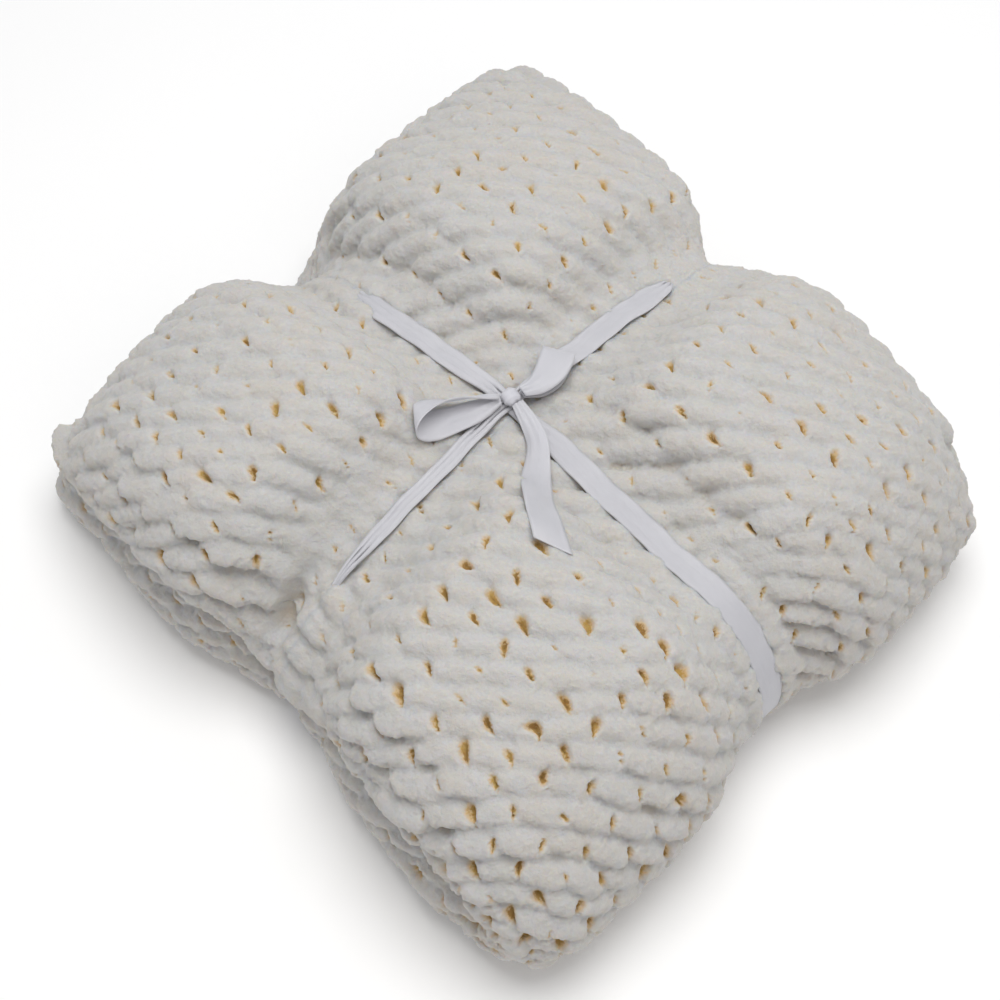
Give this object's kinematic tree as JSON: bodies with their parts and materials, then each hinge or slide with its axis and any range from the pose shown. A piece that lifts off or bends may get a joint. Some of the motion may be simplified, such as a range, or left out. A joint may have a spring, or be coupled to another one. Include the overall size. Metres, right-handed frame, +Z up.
{
  "type": "chunky knit blanket",
  "caption": "Square chunky knit throw folded into a plump bundle and tied crosswise with satin ribbon, which presses it into soft puffed quarters under a small bow.",
  "frame": {"origin": "middle of the bundle's box, on the surface that it rests on", "axes": "+Z up; the throw's last fold is along +X and its first fold along -Y, so its free edges are at -X and +Y"},
  "size_m": [0.5318, 0.4767, 0.1937],
  "materials": {
    "knit": "matte plush chenille",
    "ribbon": "satin weave"
  },
  "bodies": {
    "root": {"blanket": "knit", "ribbon_band_x": "ribbon", "ribbon_band_y": "ribbon", "ribbon_knot": "ribbon", "bow_loop_left": "ribbon", "bow_loop_right": "ribbon", "ribbon_tail": "ribbon"}
  },
  "joints": []
}
